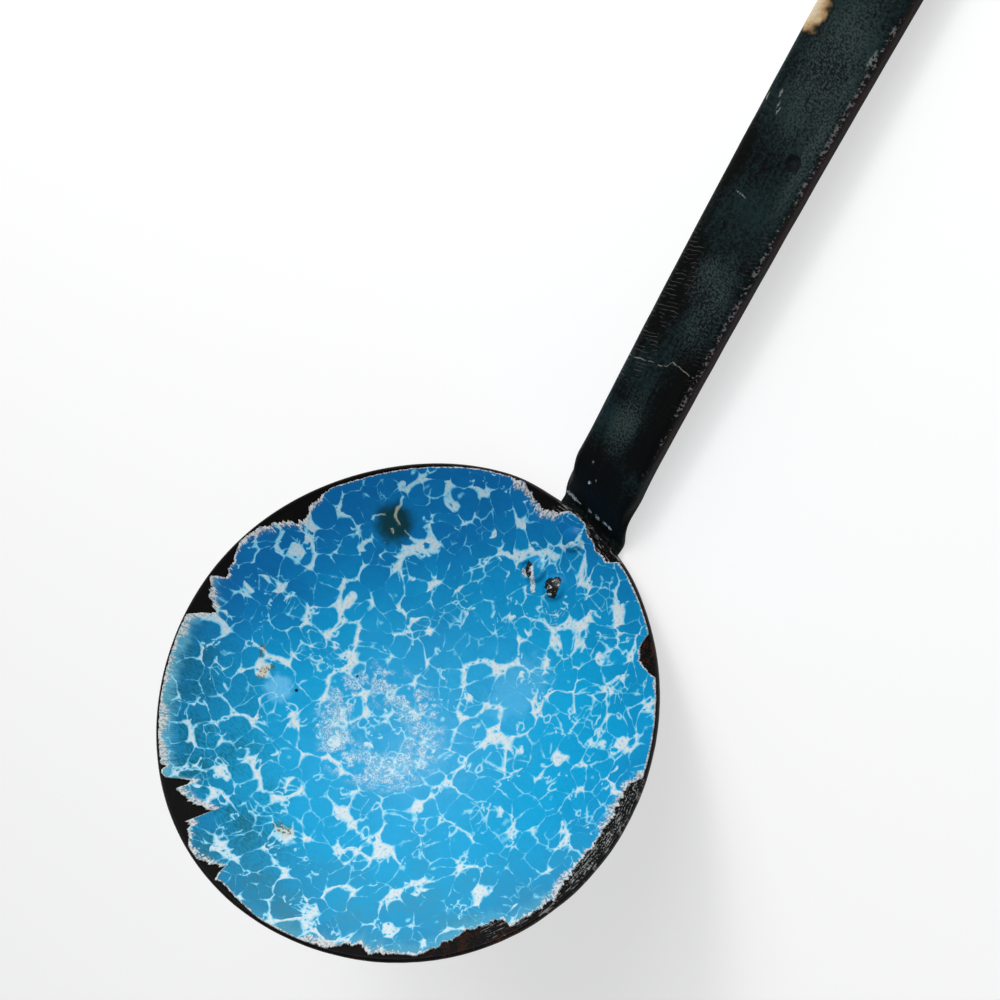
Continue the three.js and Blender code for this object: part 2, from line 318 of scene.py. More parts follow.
def shell_skin():
    """The under face from its middle to the rim, round the cut edge, and back down the inner face to its
    middle. The cut edge is a rounded square: a half turn with its sine and cosine raised to a power
    below 1."""
    climb = np.sin(np.linspace(0, np.pi / 2, SHELL_ROWS)) * (rim_arc - RIM_ROUNDING)
    turn = np.linspace(-np.pi / 2, np.pi / 2, 13)[1:-1]
    edge_arc = rim_arc - RIM_ROUNDING * (1 - np.abs(np.cos(turn)) ** RIM_SQUARENESS)
    edge_height = SHELL_THICKNESS / 2 * (np.sign(np.sin(turn)) * np.abs(np.sin(turn)) ** RIM_SQUARENESS - 1)
    arc = np.concatenate([climb, edge_arc, climb[::-1]])[:, None]
    height = np.concatenate([0 * climb - SHELL_THICKNESS, edge_height, 0 * climb])[:, None]
    angle = np.linspace(-np.pi, np.pi, SHELL_COLUMNS + 1)[None, :]
    chart = bowl_chart(arc, angle)
    under = ease(-height, 0, SHELL_THICKNESS)
    uneven = under * ripples(chart, *OUTSIDE_RIPPLES)
    grid = bowl_place(arc + 0 * angle, angle + 0 * arc, height + uneven)
    near_rim = ease(arc, rim_arc - WEAR_STARTS, rim_arc - WEAR_WHOLE)
    marks = {"rim_gap": rim_arc - arc + 0 * angle, "under": under + 0 * angle}
    for wear, zones in RIM_WEAR.items():
        marks[wear] = near_rim * sum(arc_zone(angle, *zone) for zone in zones)
    return skin("shell_pressing", grid, "bowl_chart", chart, marks, 50)


def ground_coat():
    """Black enamel with a fine grain, browned in places. Where the mesh says, it is worn to speckled
    steel, streaked along the rim, or rusted. The outside is scuffed and scraped, with knocks gone to
    rust."""
    constants = {"Specular IOR Level": 0.06, "Coat Roughness": 0.18}
    material, place, feed = finish("black_ground_coat", "bowl_chart", constants)
    worn, rusted, streaked = (place.mark(wear) for wear in RIM_WEAR)
    rim_gap = place.mark("rim_gap")
    under = place.mark("under")
    grain = place.noise(GROUND_GRAIN, 4)
    blotch = place.noise(GROUND_BLOTCH, 3)
    cloud = place.noise(GROUND_CLOUD, 2)
    drawn_out = place.vector("SCALE", 0.15).vector("ADD", place.node("CombineXYZ", {}, {"Z": rim_gap}))
    streaks = place.node("TexNoise", {}, {"Vector": drawn_out, "Scale": 1 / STREAK_WIDTH, "Detail": 4.0})
    colour = (blotch.between(0.45, 0.75) * (0.5 + rusted)).mix(GROUND_BLACK, GROUND_BROWN)
    lines = streaked * (streaks * 0.75 + grain * 0.25).between(0.53, 0.62)
    colour = (lines * 0.65).mix(colour, STREAK_GREY)
    flecks = (grain * 0.55 + streaks * 0.45).between(0.51, 0.62) * worn * rim_gap.between(0.0002, 0.0012)
    colour = (flecks * 0.85).mix(colour, WORN_STEEL)
    rust = rusted * (blotch * 0.35 + grain * 0.65).between(0.53, 0.62)
    colour = (rust * 0.8).mix(colour, RUST)
    scrapes = place.drifted(0.02, 0.006).vector("MULTIPLY", (0.06, 1, 1)).noise(SCRAPE_WIDTH, 3)
    scrapes = scrapes.between(0.60, 0.70) * 0.8
    scuffs = under * (cloud * 0.5 + grain * 0.5).between(0.52, 0.72).larger(scrapes)
    colour = (scuffs * 0.5).mix(colour, SCUFF_GREY)
    knocks = blotch * 0.7 + grain * 0.3 + rim_gap.between(0.014, 0.001) * 0.08
    knocks = under * knocks.between(0.66, 0.69)
    colour = (knocks * 0.85).mix(colour, RUST)
    feed({
        "Base Color": colour,
        "Roughness": 0.45 + 0.3 * rust + 0.25 * flecks + 0.15 * scuffs + 0.2 * knocks,
        "Coat Weight": under * (0.75 - 0.6 * scuffs.larger(knocks)),
        "Normal": (grain + 0.5 * blotch + 0.6 * lines - knocks).bump(0.00012),
    })
    return material


shell = shell_skin()
shell.data.materials.append(ground_coat())
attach(shell, "root")
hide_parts("bowl_shell")

# Handle
# One strip of steel. Its tongue lies dished against the outside of the bowl, it bends sharply at the
# rim, and its two long edges are turned down along the shank. Black enamel, streaked green and worn pale
# at a corner.
STRIP_THICKNESS = 0.0016
FOOT_LENGTH = 0.031
FOOT_WIDTH = 0.0232
RIM_BEND_RADIUS = 0.003
RIM_BEND_ANGLE = np.radians(39)
SHOULDER_LENGTH = 0.027
SHOULDER_ANGLE = np.radians(28)
SHOULDER_BEND = 0.012
SHANK_LENGTH = 0.225
SHANK_DROOP = np.radians(7)
TAB_LENGTH = 0.032
HANDLE_WIDTH = 0.0214
EDGE_DEPTH = 0.0054
EDGE_CORNER_RADIUS = 0.0024
EDGE_FADE = 0.024
ROOT_FADE = 0.021
EDGE_CAP = 0.0005
FLAT_LIP = 0.0006
FLAT_LIP_ANGLE = np.radians(2)
FOOT_DISHED_TO = 0.0063
SEAT_GAP = 0.0003
# The strip narrows from so far past the rim to so far past the start of the shank.
NARROWS_FROM = 0.003
NARROWS_TO = 0.004
HANG_HOLE_DIAMETER = 0.009
HANG_HOLE_INSET = 0.013
STATION_STEP = 0.0006
SHANK_RIPPLES = (0.00005, 0.012, 3)
# The shank's ripples start and are whole so far past the rim.
RIPPLES_START = 0.004
RIPPLES_WHOLE = 0.02
# Places on the strip: along it from the foot's end, and across it from its middle.
PIT = (0.1533, -0.005)
PIT_RADIUS = 0.0020
PIT_DEPTH = 0.0003
BARE_SPOT = (0.1850, 0.0100)
BARE_SPOT_HALF_SIZE = (0.0058, 0.0040)
# Patches, chips and scratches: each one's middle, and half its length along the strip and across it.
PALE_PATCHES = (
    (0.069, 0.0014, 0.011, 0.0044), (0.111, -0.004, 0.016, 0.005), (0.116, 0.0, 0.008, 0.005),
    (0.176, -0.001, 0.021, 0.008), (0.163, -0.0078, 0.026, 0.003),
)
DARK_PATCHES = (
    (0.045, 0.0, 0.016, 0.020), (0.107, 0.0070, 0.020, 0.006), (0.143, 0.0115, 0.018, 0.0060),
    (0.078, -0.0078, 0.022, 0.0070),
)
RIM_CHIPS = (
    (0.0346, 0.0085, 0.0012, 0.0036), (0.0352, 0.0014, 0.0009, 0.0009), (0.0354, -0.0016, 0.0010, 0.0012),
    (0.0358, -0.0046, 0.0009, 0.0011), (0.0358, -0.0064, 0.0010, 0.0010), (0.0467, 0.0032, 0.0008, 0.0006),
)
SCRATCHES = (
    (0.1625, 0.0093, 0.0016, 0.0003), (0.1622, 0.0058, 0.0014, 0.0003), (0.1612, 0.0050, 0.0012, 0.0003),
    (0.1650, 0.0066, 0.0014, 0.0004), (0.0530, 0.0045, 0.0009, 0.0004), (0.0490, 0.0015, 0.0007, 0.0003),
    (0.1830, -0.0093, 0.0030, 0.0007), (0.1395, 0.0030, 0.0003, 0.0022),
)
# Crazed ovals on both sides: the middle and the half sizes. Their fine lines run across at this step.
CRAZED_NEAR = ((0.102, 0.0085), (0.026, 0.0064))
CRAZED_FAR = ((0.112, -0.0088), (0.034, 0.0022))
CRAZE_STEP = 0.0012
CRACK_STATION = 0.0896
CRACK_SLANT = 0.39
CRACK_JOG = 0.0027
WORN_CORNER = -0.0104
HANDLE_STREAK = 0.0010
HANDLE_MOTTLE = 0.0012
HANDLE_PEBBLE = 0.0006
HANDLE_CLOUD = 0.013
HANDLE_BLACK = (0.0030, 0.0034, 0.0032)
HANDLE_GREEN = (0.0115, 0.0262, 0.0290)
HANDLE_PALE = (0.050, 0.064, 0.058)
HANDLE_RED = (0.020, 0.0058, 0.0058)
CRAZE_GREY = (0.13, 0.12, 0.11)
CRACK_TAN = (0.24, 0.22, 0.19)
CORNER_GREY = (0.28, 0.25, 0.25)
SCRATCH_GREY = (0.26, 0.28, 0.28)
CHIP_WHITE = (0.48, 0.55, 0.58)
CREAM = (0.50, 0.32, 0.15)
CREAM_LIGHT = (0.60, 0.49, 0.34)

seat_radius = outer_radius + SEAT_GAP
foot_angle = np.arcsin(rim_radius / outer_radius) - FOOT_LENGTH / seat_radius
# The shoulder is straight on both sides of a short bend, and ends where one long bend would.
shoulder_straight = (SHOULDER_LENGTH - SHOULDER_BEND) * np.tan(SHOULDER_ANGLE / 2) / SHOULDER_ANGLE
strip_runs = (
    (FOOT_LENGTH, FOOT_LENGTH / seat_radius),
    (RIM_BEND_RADIUS * RIM_BEND_ANGLE, RIM_BEND_ANGLE),
    (shoulder_straight, 0),
    (SHOULDER_BEND, -SHOULDER_ANGLE),
    (shoulder_straight, 0),
    (SHANK_LENGTH, -SHANK_DROOP),
    (TAB_LENGTH, 0),
)
rim_station = FOOT_LENGTH
shank_station = sum(length for length, turn in strip_runs[:5])
tab_station = shank_station + SHANK_LENGTH
end_station = tab_station + TAB_LENGTH


def strip_line(station):
    """Place and heading on the middle line of the upper face: arcs laid end to end in the bowl's middle
    plane, each walked by its chord."""
    along = np.full_like(station, seat_radius * np.sin(foot_angle))
    up = np.full_like(station, outer_radius - bowl_depth - seat_radius * np.cos(foot_angle))
    heading = np.full_like(station, foot_angle)
    left = station
    for length, turn in strip_runs:
        run = np.minimum(left, length)
        bend = turn * run / length
        chord = run * np.sinc(bend / 2 / np.pi)
        along = along + chord * np.cos(heading + bend / 2)
        up = up + chord * np.sin(heading + bend / 2)
        heading = heading + bend
        left = left - run
    return along, up, heading


def strip_section(station):
    """Half a section at each station, from the middle of the upper face round the edge to the middle of
    the under face: a flat web, a corner arc and a lip, each offset by half the thickness to both sides,
    and a rounded cap. Both ends of the strip are half rounds in plan."""
    share = ease(station, rim_station, rim_station + ROOT_FADE)
    share = share * (1 - ease(station, tab_station - EDGE_FADE, tab_station))
    narrowing = ease(station, rim_station + NARROWS_FROM, shank_station + NARROWS_TO)
    straight = (FOOT_WIDTH + (HANDLE_WIDTH - FOOT_WIDTH) * narrowing) / 2
    to_end = np.minimum(np.minimum(station, end_station - station), straight)
    half = np.sqrt(straight**2 - (straight - to_end) ** 2)
    angle = FLAT_LIP_ANGLE + (np.pi / 2 - FLAT_LIP_ANGLE) * share
    lip = np.minimum(FLAT_LIP, half / 3)
    edge = lip + (EDGE_DEPTH - EDGE_CORNER_RADIUS - lip) * share
    flat = half - EDGE_CORNER_RADIUS * np.sin(angle) - edge * np.cos(angle)
    edge = edge - np.minimum(EDGE_CAP, lip)
    angle, edge, flat, lip = (value[:, None] for value in (angle, edge, flat, lip))
    middle_radius = EDGE_CORNER_RADIUS - STRIP_THICKNESS / 2
    web = np.linspace(0, 1, 16)[None, :]
    corner = np.linspace(0, 1, 8)[None, 1:]
    down = np.linspace(0, 1, 5)[None, 1:]
    lean = np.hstack([0 * flat * web, angle * corner, angle + 0 * down])
    across = np.hstack([
        flat * web,
        flat + middle_radius * np.sin(angle * corner),
        flat + middle_radius * np.sin(angle) + edge * down * np.cos(angle),
    ])
    height = np.hstack([
        0 * flat * web - STRIP_THICKNESS / 2,
        middle_radius * np.cos(angle * corner) - EDGE_CORNER_RADIUS,
        middle_radius * np.cos(angle) - EDGE_CORNER_RADIUS - edge * down * np.sin(angle),
    ])
    side = STRIP_THICKNESS / 2
    round_cap = np.radians([30, 60, 90, 120, 150])[None, :]
    cap_reach = np.minimum(EDGE_CAP, lip) * np.sin(round_cap)
    across = np.hstack([
        across + side * np.sin(lean),
        across[:, -1:] + side * np.cos(round_cap) * np.sin(angle) + cap_reach * np.cos(angle),
        (across - side * np.sin(lean))[:, ::-1],
    ])
    height = np.hstack([
        height + side * np.cos(lean),
        height[:, -1:] + side * np.cos(round_cap) * np.cos(angle) - cap_reach * np.sin(angle),
        (height - side * np.cos(lean))[:, ::-1],
    ])
    return across, height


def ovals(chart, patches):
    """The largest of several soft ovals on a flat chart, each 1 in its middle and 0 past its edge."""
    along, across = np.moveaxis(chart, -1, 0)
    found = 0 * along
    for centre_along, centre_across, half_length, half_width in patches:
        away = np.hypot((along - centre_along) / half_length, (across - centre_across) / half_width)
        found = np.maximum(found, 1 - ease(away, 0.2, 1.3))
    return found


def handle_skin():
    """The section carried along the strip's middle line. Each row starts and ends at the middle of the
    under face. The foot is dished to the bowl's round, and the pit is a smooth round dip."""
    foot_round = FOOT_WIDTH / 2 * (1 - np.cos(np.linspace(0, np.pi / 2, 24)))
    tab_round = end_station - HANDLE_WIDTH / 2 * (1 - np.cos(np.linspace(np.pi / 2, 0, 24)))
    straight = np.arange(foot_round[-1] + STATION_STEP, tab_round[0] - STATION_STEP / 2, STATION_STEP)
    station = np.concatenate([foot_round, straight, tab_round])
    across, height = strip_section(station)
    steps = np.hypot(np.diff(across, axis=1), np.diff(height, axis=1))
    offset = np.hstack([0 * across[:, :1], np.cumsum(steps, axis=1)])
    across = np.hstack([-across[:, ::-1], across[:, 1:]])
    offset = np.hstack([-offset[:, ::-1], offset[:, 1:]])
    height = np.hstack([height[:, ::-1], height[:, 1:]])
    run = station[:, None] + 0 * across
    dished = 1 - ease(run, rim_station - FOOT_DISHED_TO, rim_station)
    height = height + dished * (seat_radius - np.sqrt(seat_radius**2 - across**2))
    on_shank = ease(run, rim_station + RIPPLES_START, rim_station + RIPPLES_WHOLE)
    height = height + on_shank * ripples(np.stack([run, across], -1), SHANK_RIPPLES)
    from_pit = np.hypot(run - PIT[0], offset - PIT[1])
    height = height - PIT_DEPTH * (1 - ease(from_pit, 0.4 * PIT_RADIUS, PIT_RADIUS))
    along, up, heading = (value[:, None] for value in strip_line(station))
    local = np.stack([along - height * np.sin(heading), across, up + height * np.cos(heading)], -1)
    grid = rim_centre + local @ bowl_axes
    patches = {"pale": PALE_PATCHES, "dark": DARK_PATCHES, "chipped": RIM_CHIPS}
    chart = np.stack([run, offset], -1)
    marks = {name: ovals(chart, places) for name, places in patches.items()}
    return skin("handle_strip", grid, "strip_chart", chart, marks, 50)


def pierced(piece, centre, axis, radius, reach):
    """The piece with a round hole through it, cut by a plain cylinder that is then removed."""
    turn = np.linspace(0, 2 * np.pi, 65)[None, :, None]
    out = np.array([0, radius, radius, 0])[:, None, None]
    along = np.array([-reach, -reach, reach, reach])[:, None, None]
    first = np.cross(axis, (0, 1, 0))
    ring = out * (np.cos(turn) * first + np.sin(turn) * np.array([0, 1, 0]))
    grid = centre + ring + along * axis
    cutter = skin("hole_cutter", grid, "strip_chart", np.zeros((4, 65, 2)), {}, 30)
    cut = piece.modifiers.new("hanging_hole", "BOOLEAN")
    cut.object = cutter
    cut.solver = "EXACT"
    graph = bpy.context.evaluated_depsgraph_get()
    mesh = bpy.data.meshes.new_from_object(piece.evaluated_get(graph))
    piece.modifiers.clear()
    piece.data = mesh
    bpy.data.objects.remove(cutter)
    return piece


def handle_enamel():
    """Greenish-black enamel: lengthwise streaks and fine pebbling over near black, pale where it is
    dulled, crazed along both sides and cracked across, worn pale and red along one corner, scratched,
    chipped white by the rim, and bare in one spot, where a cream coat shows."""
    material, place, feed = finish("handle_black_enamel", "strip_chart", {"Specular IOR Level": 0.06})
    pale, dark, chipped = (place.mark(name) for name in ("pale", "dark", "chipped"))
    wavy = place.drifted(0.0022, 0.0009)
    run, offset, wavy_run, wavy_offset = (source.part(axis) for source in (place, wavy) for axis in (0, 1))
    streaks = place.vector("MULTIPLY", (0.15, 1, 1)).noise(HANDLE_STREAK, 4)
    mottle = place.noise(HANDLE_MOTTLE, 5)
    pebbles = place.noise(HANDLE_PEBBLE, 3)
    cloud = place.noise(HANDLE_CLOUD, 3)
    grain = mottle * 0.4 + streaks * 0.3 + pebbles * 0.3
    tone = (cloud * 0.55 + grain * 1.3 - dark * 0.4 + pale * 0.12).between(0.68, 1.18)
    colour = tone.mix(HANDLE_BLACK, HANDLE_GREEN)
    dulled = pale * (pebbles * 0.65 + grain * 0.2 + cloud * 0.15).between(0.45, 0.60)
    colour = (dulled * 0.8).mix(colour, HANDLE_PALE)

    slanted = (wavy_run + 0.45 * wavy_offset) / CRAZE_STEP
    rungs = place.math("PINGPONG", slanted, 0.5).between(0.13, 0.03)
    near_side = place.spot(*CRAZED_NEAR).between(1.05, 0.8)
    far_side = place.spot(*CRAZED_FAR).between(1.1, 0.6)
    crazed = rungs * near_side.larger(far_side * 0.45) * place.noise(0.0030, 2).between(0.44, 0.58)
    colour = (crazed * 0.5).mix(colour, CRAZE_GREY)
    crack_run = CRACK_STATION - CRACK_SLANT * wavy_offset.larger(-0.001)
    crack_run = crack_run + CRACK_JOG * wavy_offset.between(-0.0006, -0.0028)
    cracked = (wavy_run - crack_run).magnitude().between(0.00024, 0.00006) * offset.between(-0.0100, -0.0092)
    cracked = cracked * place.noise(0.0016, 3).between(0.38, 0.50)
    colour = (cracked * 0.8).mix(colour, CRACK_TAN)

    past_joint = run.between(0.05, 0.085)
    red_band = offset.between(-0.0100, -0.0112) * past_joint * cloud.between(0.3, 0.6)
    colour = (red_band * 0.8).mix(colour, HANDLE_RED)
    patches = place.vector("MULTIPLY", (1, 0.3, 1)).noise(0.008, 2)
    rubbed = (offset - WORN_CORNER).magnitude().between(0.0010, 0.0002) * past_joint
    rubbed = rubbed * (mottle * 0.9 + pebbles * 0.3 + patches * 0.5).between(0.90, 0.99)
    colour = (rubbed * 0.7).mix(colour, CORNER_GREY)
    crumbled = pebbles.between(0.35, 0.5) * 0.7
    for along, across, half_length, half_width in SCRATCHES:
        scratched = wavy.spot((along, across), (half_length, half_width)).between(1.0, 0.4)
        colour = (scratched * crumbled).mix(colour, SCRATCH_GREY)
    chip_edge = (chipped + mottle.swing(0.9) + pebbles.swing(1.2)).between(0.38, 0.62)
    chip_edge = chip_edge * chipped.between(0.02, 0.3) * pebbles.between(0.32, 0.56)
    colour = chip_edge.mix(colour, CHIP_WHITE)

    bare_gap = place.spot(BARE_SPOT, BARE_SPOT_HALF_SIZE) + place.noise(0.0025, 4).swing(0.8)
    bare = bare_gap.between(1.15, 0.6)
    colour = (bare_gap.between(1.45, 1.0) * 0.7).mix(colour, HANDLE_BLACK)
    colour = bare.mix(colour, (bare_gap + pebbles * 0.5).between(1.15, 0.5).mix(CREAM, CREAM_LIGHT))
    # Painted shade: the pit's rim and floor are darkened towards black.
    pit = place.spot(PIT, (PIT_RADIUS, PIT_RADIUS))
    colour = (pit.between(1.2, 0.95) * pit.between(-0.5, 0.85) * 0.85).mix(colour, HANDLE_BLACK)
    feed({
        "Base Color": colour,
        "Roughness": 0.5 + 0.2 * dulled + 0.2 * bare + 0.1 * streaks,
        "Normal": (grain * 1.2 + cracked * 0.5 - crazed * 0.3).bump(0.00025),
    })
    return material


hole_along, hole_up, hole_heading = strip_line(np.array(end_station - HANG_HOLE_INSET))
hole_centre = rim_centre + np.array([hole_along, 0, hole_up]) @ bowl_axes
hole_axis = np.array([-np.sin(hole_heading), 0, np.cos(hole_heading)]) @ bowl_axes
handle = pierced(handle_skin(), hole_centre, hole_axis, HANG_HOLE_DIAMETER / 2, 4 * STRIP_THICKNESS)
handle.data.materials.append(handle_enamel())
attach(handle, "root")
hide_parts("handle")

# Rivets
# Three steel rivets hold the tongue to the bowl: one close to the rim and a pair below it. Each has a
# low round head inside the bowl and a hammered tail outside, and all were enamelled over in black with
# the rest.
RIVETS = {"rivet_rim": "rivet_by_rim", "rivet_left": "rivet_pair_left", "rivet_right": "rivet_pair_right"}
RIVET_SHANK_RADIUS = 0.002
RIVET_HEAD_RADIUS = 0.003
RIVET_HEAD_HEIGHT = 0.0012
RIVET_TAIL_RADIUS = 0.0032
RIVET_TAIL_HEIGHT = 0.0006
# The share of an end's height that is its upright rim.
UPRIGHT_SHARE = 0.3
RIVET_COLUMNS = 64
HEAD_DENT = 0.00006
HEAD_DENT_LENGTH = 0.003
FIRST_RIVET_SEED = 10
RIVET_BLACK = (0.006, 0.0055, 0.005)
RIVET_FLECK = (0.55, 0.56, 0.55)

sphere_centre = rim_centre + (outer_radius - bowl_depth) * out_of_bowl


def rivet_seat(node):
    """Where a rivet stands on the inner face: its arc and angle, from the middle of the rivet's box."""
    low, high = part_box(node)
    away = ((np.array(low) + np.array(high)) / 2 - sphere_centre) @ bowl_axes.T
    polar = np.arctan2(np.hypot(away[0], away[1]), -away[2])
    return polar * inner_radius, np.arctan2(away[1], away[0])


def round_end(radius, height):
    """A low round end, edge to crown: an upright rim, then a quarter of an ellipse."""
    turn = np.linspace(0, np.pi / 2, 20)
    return radius * np.cos(turn), height * (UPRIGHT_SHARE + (1 - UPRIGHT_SHARE) * np.sin(turn))


def rivet_skin(name, arc, angle, seed):
    """A profile turned about the rivet's axis: tail, shank through shell and tongue, head. The head is
    slightly uneven."""
    head_out, head_up = round_end(RIVET_HEAD_RADIUS, RIVET_HEAD_HEIGHT)
    tail_out, tail_up = round_end(RIVET_TAIL_RADIUS, RIVET_TAIL_HEIGHT)
    tail_level = -(SHELL_THICKNESS + STRIP_THICKNESS + 2 * SEAT_GAP)
    out = np.concatenate([
        tail_out[::-1],
        [RIVET_TAIL_RADIUS, RIVET_SHANK_RADIUS, RIVET_SHANK_RADIUS, RIVET_HEAD_RADIUS],
        head_out,
    ])[:, None]
    level = np.concatenate([
        (tail_level - tail_up)[::-1],
        [tail_level, tail_level, SEAT_GAP, SEAT_GAP],
        SEAT_GAP + head_up,
    ])[:, None]
    turn = np.linspace(0, 2 * np.pi, RIVET_COLUMNS + 1)[None, :]
    chart = np.stack([out * np.cos(turn), out * np.sin(turn)], -1)
    uneven = ripples(chart, (HEAD_DENT, HEAD_DENT_LENGTH, seed)) * ease(level, 0, 0.001)
    polar = arc / inner_radius
    inward = np.array([-np.sin(polar) * np.cos(angle), -np.sin(polar) * np.sin(angle), np.cos(polar)])
    sideways = np.array([-np.sin(angle), np.cos(angle), 0])
    uphill = np.cross(sideways, inward)
    foot = -inward * inner_radius + np.array([0, 0, outer_radius - bowl_depth])
    local = foot + (level + uneven)[..., None] * inward + chart[..., :1] * uphill + chart[..., 1:] * sideways
    return skin(name, rim_centre + local @ bowl_axes, "rivet_chart", chart, {}, 40)


def rivet_enamel():
    """Black enamel over steel, with pale flecks where crumbs of the blue and white coat still hold."""
    material, place, feed = finish("rivet_black_enamel", "rivet_chart", {"Specular IOR Level": 0.4})
    grain = place.noise(0.0007, 4)
    flecks = place.noise(0.0016, 2).between(0.58, 0.64) * grain.between(0.42, 0.55)
    feed({
        "Base Color": (flecks * 0.9).mix(RIVET_BLACK, RIVET_FLECK),
        "Roughness": 0.32 + 0.3 * flecks,
        "Normal": (grain + flecks).bump(0.00015),
    })
    return material


rivet_finish = rivet_enamel()
rivet_seats = {node: rivet_seat(node) for node in RIVETS}
for seed, (node, name) in enumerate(RIVETS.items(), FIRST_RIVET_SEED):
    rivet = rivet_skin(name, *rivet_seats[node], seed)
    rivet.data.materials.append(rivet_finish)
    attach(rivet, "root")
    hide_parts(node)

# Lining
# The cover coat inside the bowl: blue enamel that drew into cells over white, so that white shows as
# veins between them. It flows over the rivet nearest the rim, has broken off the pair, and is chipped
# along the rim.
LINING_TOP = 0.0005
LINING_BED = 0.00004
LINING_COLUMNS = 1280
LINING_SETBACK = 0.00025
LINING_RIPPLES = ((0.00004, 0.009, 30), (0.00002, 0.003, 31))
# Rings of points lie wide apart up to the first arc, and bend with the chips from the second on.
WIDE_RINGS_TO = 0.046
RINGS_BEND_FROM = 0.052
BROKEN_DROP = 0.00012
BROKEN_ROUNDING = 0.0005
# Each chip: where it starts, is deepest and ends, in degrees from the handle, depth and fullness.
CHIPS = (
    (-12, -7, 0.5, 0.0030, 3), (5.5, 10.8, 19, 0.0046, 1.2), (20, 61, 92, 0.0011, 1),
    (65, 78, 89.5, 0.0045, 1.1), (74, 77.5, 81.5, 0.0058, 4), (93, 101.7, 103.6, 0.0044, 1),
    (104, 110.5, 114.5, 0.0068, 1), (151, 151.4, 152.2, 0.0016, 1), (154.2, 156.2, 157.6, 0.0072, 2.5),
    (153, 165.2, 165.8, 0.0098, 1), (165.4, 166, 171.5, 0.0030, 1), (174.8, 180, 181.6, 0.0050, 0.8),
    (181, 183, 195, 0.0015, 1), (-148, -141.8, -137.5, 0.0036, 1.5), (-140, -136, -126, 0.0015, 2),
    (-129, -116, -115.8, 0.0062, 1.1), (-121, -112, -106.9, 0.0058, 8), (-112, -100, -90, 0.0018, 4),
    (-97, -84, -70, 0.0052, 2), (-90, -76, -64.3, 0.0045, 9), (-41, -34.5, -30.8, 0.0047, 2.5),
)
# Teeth of the broken edge: height as a share, how many round the bowl, and seed.
TEETH = ((0.5, 260, 20), (0.5, 620, 21), (0.4, LINING_COLUMNS, 23))
PLAIN_BITE = 0.00016
CHIP_BITE = 0.0006
# Where the broken edge is frayed white: start and end in degrees from the handle, and the width.
FRAYED = (
    (-152, -128, 0.0020), (-107, -64, 0.0025), (6, 20, 0.0020), (72, 83, 0.0016), (84, 108, 0.0026),
    (112, 150, 0.0020), (157, 166, 0.0022), (170, 181, 0.0020), (-14, -8, 0.0012), (-42, -35, 0.0010),
)
PLAIN_FRAY = 0.00025
# The cover of a rivet's head: thickness, margin round the head, and where its dome falls off.
COVER_OVER_HEAD = 0.0002
COVER_MARGIN = 0.0003
DOME_STARTS = 0.0031
DOME_ENDS = 0.0040
BROKEN_CRUST = 0.0001
# The picture's right and up on the dish laid flat.
CHART_RIGHT = (0.788, -0.616)
CHART_UP = (0.616, 0.788)
# Rounds of a broken cover: how far right of the rivet and up from it in the picture, and radius.
HEART_ROUNDS = (
    (-0.0010, 0.0014, 0.0015), (0.0013, 0.0013, 0.0013), (-0.0001, -0.0002, 0.0019),
    (-0.0004, -0.0017, 0.0013),
)
CRESCENT_ROUND = (-0.0024, 0.0006, 0.0022)
CRESCENT_KEPT = 0.0015
# Where the white runs into larger blots, on the dish laid flat with the handle on the first axis.
BLOTS = (
    (-0.0024, 0.0281), (-0.0222, 0.0117), (-0.0184, -0.0196), (-0.0503, -0.0020), (0.0491, -0.0295),
    (0.0418, -0.0148), (0.0204, -0.0395), (0.0352, 0.0344), (0.0076, 0.0398), (0.0066, 0.0611),
    (0.0597, 0.0046), (0.0349, -0.0531), (-0.0043, -0.0436), (-0.0523, 0.0242), (-0.0459, -0.0458),
    (-0.0239, 0.0417), (0.0316, -0.0459), (0.0516, 0.0371), (-0.0591, -0.0263),
)
BLOT_RADIUS = 0.0034
CELL = 0.0063
LEAST_ROUND = 0.54
DRAWN_ROUND = 0.34
SPOKE_ROUNDING = 0.0012
LONE_THINNING = 0.0006
VEIN_HALF_WIDTH = 0.00003
VEIN_WANDER = 0.0010
VEIN_WANDER_SIZE = 0.0042
CROWDED_CELL = 0.0038
CROWDED_HALF_WIDTH = 0.00006
CROWD_SIZE = 0.011
RINGED_CELL = 0.0036
LEAST_RING = 0.0006
DRAWN_RING = 0.0009
RING_HALF_WIDTH = 0.00032
BUBBLE_CELL = 0.0017
BUBBLE_RADIUS = 0.0009
# The blue as lit, a darker blue and a greyer white for painted shade, partly the enamel's own deeper tone,
# and the place where that painted shade is least.
SKY_BLUE = (0.003, 0.318, 0.590)
DEEP_SHADED_BLUE = (0.003, 0.112, 0.335)
LEAST_SHADED_PLACE = (0.006, -0.0285)
VEIN_WHITE = (0.57, 0.65, 0.68)
VEIN_SHADED = (0.40, 0.54, 0.62)
VEIN_THIN = (0.11, 0.53, 0.75)
VEIN_SOILED = (0.16, 0.24, 0.27)
BROKEN_WHITE = (0.60, 0.61, 0.60)
BROKEN_TAN = (0.30, 0.25, 0.19)
DIRT = (0.003, 0.085, 0.108)
FILM = (0.065, 0.235, 0.310)
MILKY = (0.12, 0.39, 0.50)
STAIN_PLACE = (0.0342, 0.0467)
STAIN_HALF_SIZE = (0.0073, 0.0073)
STAIN_OLIVE = (0.004, 0.032, 0.035)
STAIN_TAN = (0.30, 0.29, 0.23)
